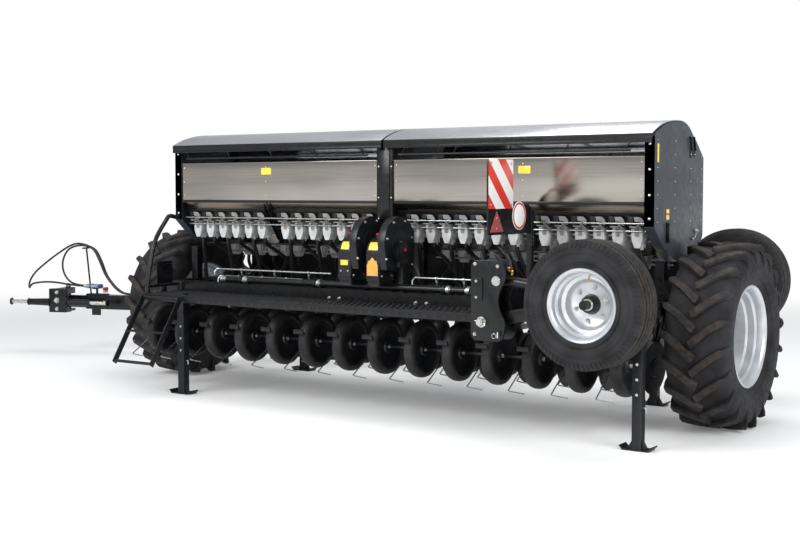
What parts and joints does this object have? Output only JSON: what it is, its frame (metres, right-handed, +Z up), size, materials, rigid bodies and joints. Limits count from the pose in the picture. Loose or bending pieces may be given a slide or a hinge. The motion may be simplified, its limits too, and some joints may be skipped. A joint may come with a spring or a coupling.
{
  "type": "seed drill",
  "caption": "Trailed seed drill with a wide lidded hopper, double disc coulters with press wheels, field wheels, end-tow transport wheels, a swinging drawbar and parking stands.",
  "frame": {"origin": "middle of the footprint, on the ground", "axes": "+X along the hopper to the transport wheels' end, +Y the way it travels in the field, +Z up"},
  "size_m": [7.2068, 2.948, 1.983],
  "materials": {
    "black_paint": "black enamel, satin to gloss",
    "grey_paint": "dark blue-grey enamel",
    "stainless": "bright rolled stainless sheet",
    "grey_plastic": "light grey moulded plastic",
    "black_plastic": "black moulded cover",
    "tube_plastic": "black flexible seed tube",
    "hose_rubber": "smooth black hydraulic hose",
    "tyre_rubber": "matt black rubber",
    "rim_silver": "silver rim paint",
    "zinc": "zinc plated",
    "chrome": "hard chrome rod",
    "sign_sheet": "blank reflective sheet, red and white"
  },
  "bodies": {
    "chassis": {"main_frame": "black_paint", "wheel_carrier_left": "black_paint", "wheel_carrier_right": "black_paint", "hopper_left": "stainless", "hopper_right": "stainless", "end_plate_left": "grey_paint", "end_plate_right": "grey_paint", "centre_post": "black_paint", "seed_meters_left": "grey_plastic", "fertiliser_meters_left": "grey_plastic", "seed_tubes_left": "tube_plastic", "seed_meters_right": "grey_plastic", "fertiliser_meters_right": "grey_plastic", "seed_tubes_right": "tube_plastic", "lift_cylinder_left": "black_paint", "lift_cylinder_right": "black_paint", "walkway": "black_paint", "handrail": "black_paint", "gearbox_left": "black_plastic", "drive_guard_left": "black_plastic", "gearbox_right": "black_plastic", "drive_guard_right": "black_plastic", "drive_shaft": "zinc", "transport_bracket_rear": "black_paint", "transport_bracket_front": "black_paint", "drawbar_boom": "black_paint", "warning_board": "sign_sheet", "speed_sign": "black_paint"},
    "field_wheel_left": {"field_tyre_left": "tyre_rubber", "field_rim_left": "rim_silver"},
    "lid_left": {"lid_left": "stainless", "lid_rail_left": "black_paint"},
    "field_wheel_right": {"field_tyre_right": "tyre_rubber", "field_rim_right": "rim_silver"},
    "lid_right": {"lid_right": "stainless", "lid_rail_right": "black_paint"},
    "openers": {"coulters_rear": "black_paint", "coulters_front": "black_paint"},
    "press_gang_rear": {"press_wheels_rear": "tyre_rubber"},
    "press_gang_front": {"press_wheels_front": "tyre_rubber"},
    "ladder": {"ladder": "black_paint"},
    "transport_arm_rear": {"transport_arm_rear": "black_paint"},
    "transport_wheel_rear": {"transport_tyre_rear": "tyre_rubber", "transport_rim_rear": "rim_silver"},
    "ram_barrel_rear": {"transport_ram_barrel_rear": "black_paint"},
    "ram_rod_rear": {"transport_ram_rod_rear": "chrome"},
    "transport_arm_front": {"transport_arm_front": "black_paint"},
    "transport_wheel_front": {"transport_tyre_front": "tyre_rubber", "transport_rim_front": "rim_silver"},
    "ram_barrel_front": {"transport_ram_barrel_front": "black_paint"},
    "ram_rod_front": {"transport_ram_rod_front": "chrome"},
    "stand_rear_right": {"stand_rear_right": "black_paint"},
    "stand_rear_left": {"stand_rear_left": "black_paint"},
    "stand_front_right": {"stand_front_right": "black_paint"},
    "stand_front_left": {"stand_front_left": "black_paint"},
    "drawbar": {"drawbar": "black_paint", "hose_stand": "black_paint", "hose_outer": "hose_rubber", "hose_inner": "hose_rubber"},
    "hitch": {"hitch_crossbar": "black_paint"}
  },
  "joints": [
    {"name": "field_wheel_left_spin", "type": "hinge", "parent": "chassis", "child": "field_wheel_left", "pos_m": [-1.26004, -0.094, 0.6], "axis": [1, 0, 0], "continuous": true},
    {"name": "lid_left_hinge", "type": "hinge", "parent": "chassis", "child": "lid_left", "pos_m": [0.05996, 0.091, 1.888], "axis": [-1, 0, 0], "range_deg": [0, 70]},
    {"name": "field_wheel_right_spin", "type": "hinge", "parent": "chassis", "child": "field_wheel_right", "pos_m": [3.37996, -0.094, 0.6], "axis": [1, 0, 0], "continuous": true},
    {"name": "lid_right_hinge", "type": "hinge", "parent": "chassis", "child": "lid_right", "pos_m": [2.05996, 0.091, 1.888], "axis": [-1, 0, 0], "range_deg": [0, 70]},
    {"name": "opener_lift", "type": "slide", "parent": "chassis", "child": "openers", "axis": [0, 0, 1], "range_m": [-0.2, 0]},
    {"name": "press_wheels_rear_spin", "type": "hinge", "parent": "openers", "child": "press_gang_rear", "pos_m": [1.05996, -0.784, 0.45], "axis": [1, 0, 0], "continuous": true},
    {"name": "press_wheels_front_spin", "type": "hinge", "parent": "openers", "child": "press_gang_front", "pos_m": [1.05996, -0.394, 0.45], "axis": [1, 0, 0], "continuous": true},
    {"name": "ladder_fold", "type": "hinge", "parent": "chassis", "child": "ladder", "pos_m": [-0.64504, -1.086, 0.724], "axis": [-1, 0, 0], "range_deg": [0, 120]},
    {"name": "transport_arm_rear_swing", "type": "hinge", "parent": "chassis", "child": "transport_arm_rear", "pos_m": [2.24596, -1.169, 0.717], "axis": [0, 1, 0], "range_deg": [0, 48]},
    {"name": "transport_wheel_rear_spin", "type": "hinge", "parent": "transport_arm_rear", "child": "transport_wheel_rear", "pos_m": [3.01996, -1.344, 0.87], "axis": [0, 1, 0], "continuous": true},
    {"name": "ram_rear_turn", "type": "hinge", "parent": "chassis", "child": "ram_barrel_rear", "pos_m": [2.35096, -1.169, 0.975], "axis": [0, 1, 0], "range_deg": [0, 45.5]},
    {"name": "ram_rear_stroke", "type": "slide", "parent": "ram_barrel_rear", "child": "ram_rod_rear", "axis": [0.9936, 0, -0.1127], "range_m": [0, 0.226]},
    {"name": "transport_arm_front_swing", "type": "hinge", "parent": "chassis", "child": "transport_arm_front", "pos_m": [2.24596, 0.981, 0.717], "axis": [0, 1, 0], "range_deg": [0, 48]},
    {"name": "transport_wheel_front_spin", "type": "hinge", "parent": "transport_arm_front", "child": "transport_wheel_front", "pos_m": [3.01996, 1.156, 0.87], "axis": [0, 1, 0], "continuous": true},
    {"name": "ram_front_turn", "type": "hinge", "parent": "chassis", "child": "ram_barrel_front", "pos_m": [2.35096, 0.981, 0.975], "axis": [0, 1, 0], "range_deg": [0, 45.5]},
    {"name": "ram_front_stroke", "type": "slide", "parent": "ram_barrel_front", "child": "ram_rod_front", "axis": [0.9936, 0, -0.1127], "range_m": [0, 0.226]},
    {"name": "stand_rear_right_slide", "type": "slide", "parent": "chassis", "child": "stand_rear_right", "axis": [0, 0, 1], "range_m": [0, 0.35]},
    {"name": "stand_rear_left_slide", "type": "slide", "parent": "chassis", "child": "stand_rear_left", "axis": [0, 0, 1], "range_m": [0, 0.2]},
    {"name": "stand_front_right_slide", "type": "slide", "parent": "chassis", "child": "stand_front_right", "axis": [0, 0, 1], "range_m": [0, 0.35]},
    {"name": "stand_front_left_slide", "type": "slide", "parent": "chassis", "child": "stand_front_left", "axis": [0, 0, 1], "range_m": [0, 0.35]},
    {"name": "drawbar_swing", "type": "hinge", "parent": "chassis", "child": "drawbar", "pos_m": [1.05996, 1.389, 0.485], "axis": [0, 0, 1], "range_deg": [-105, 0]},
    {"name": "hitch_swing", "type": "hinge", "parent": "drawbar", "child": "hitch", "pos_m": [-3.17004, 0.236, 0.485], "axis": [0, 0, 1], "range_deg": [-150, 0]}
  ],
  "couplings": [
    {"joint": "ram_rear_turn", "follows": "transport_arm_rear_swing", "ratio": 0.94357},
    {"joint": "ram_rear_stroke", "follows": "transport_arm_rear_swing", "m_per_rad": 0.26855},
    {"joint": "transport_arm_front_swing", "follows": "transport_arm_rear_swing", "ratio": 1},
    {"joint": "ram_front_turn", "follows": "transport_arm_rear_swing", "ratio": 0.94357},
    {"joint": "ram_front_stroke", "follows": "transport_arm_rear_swing", "m_per_rad": 0.26855}
  ]
}
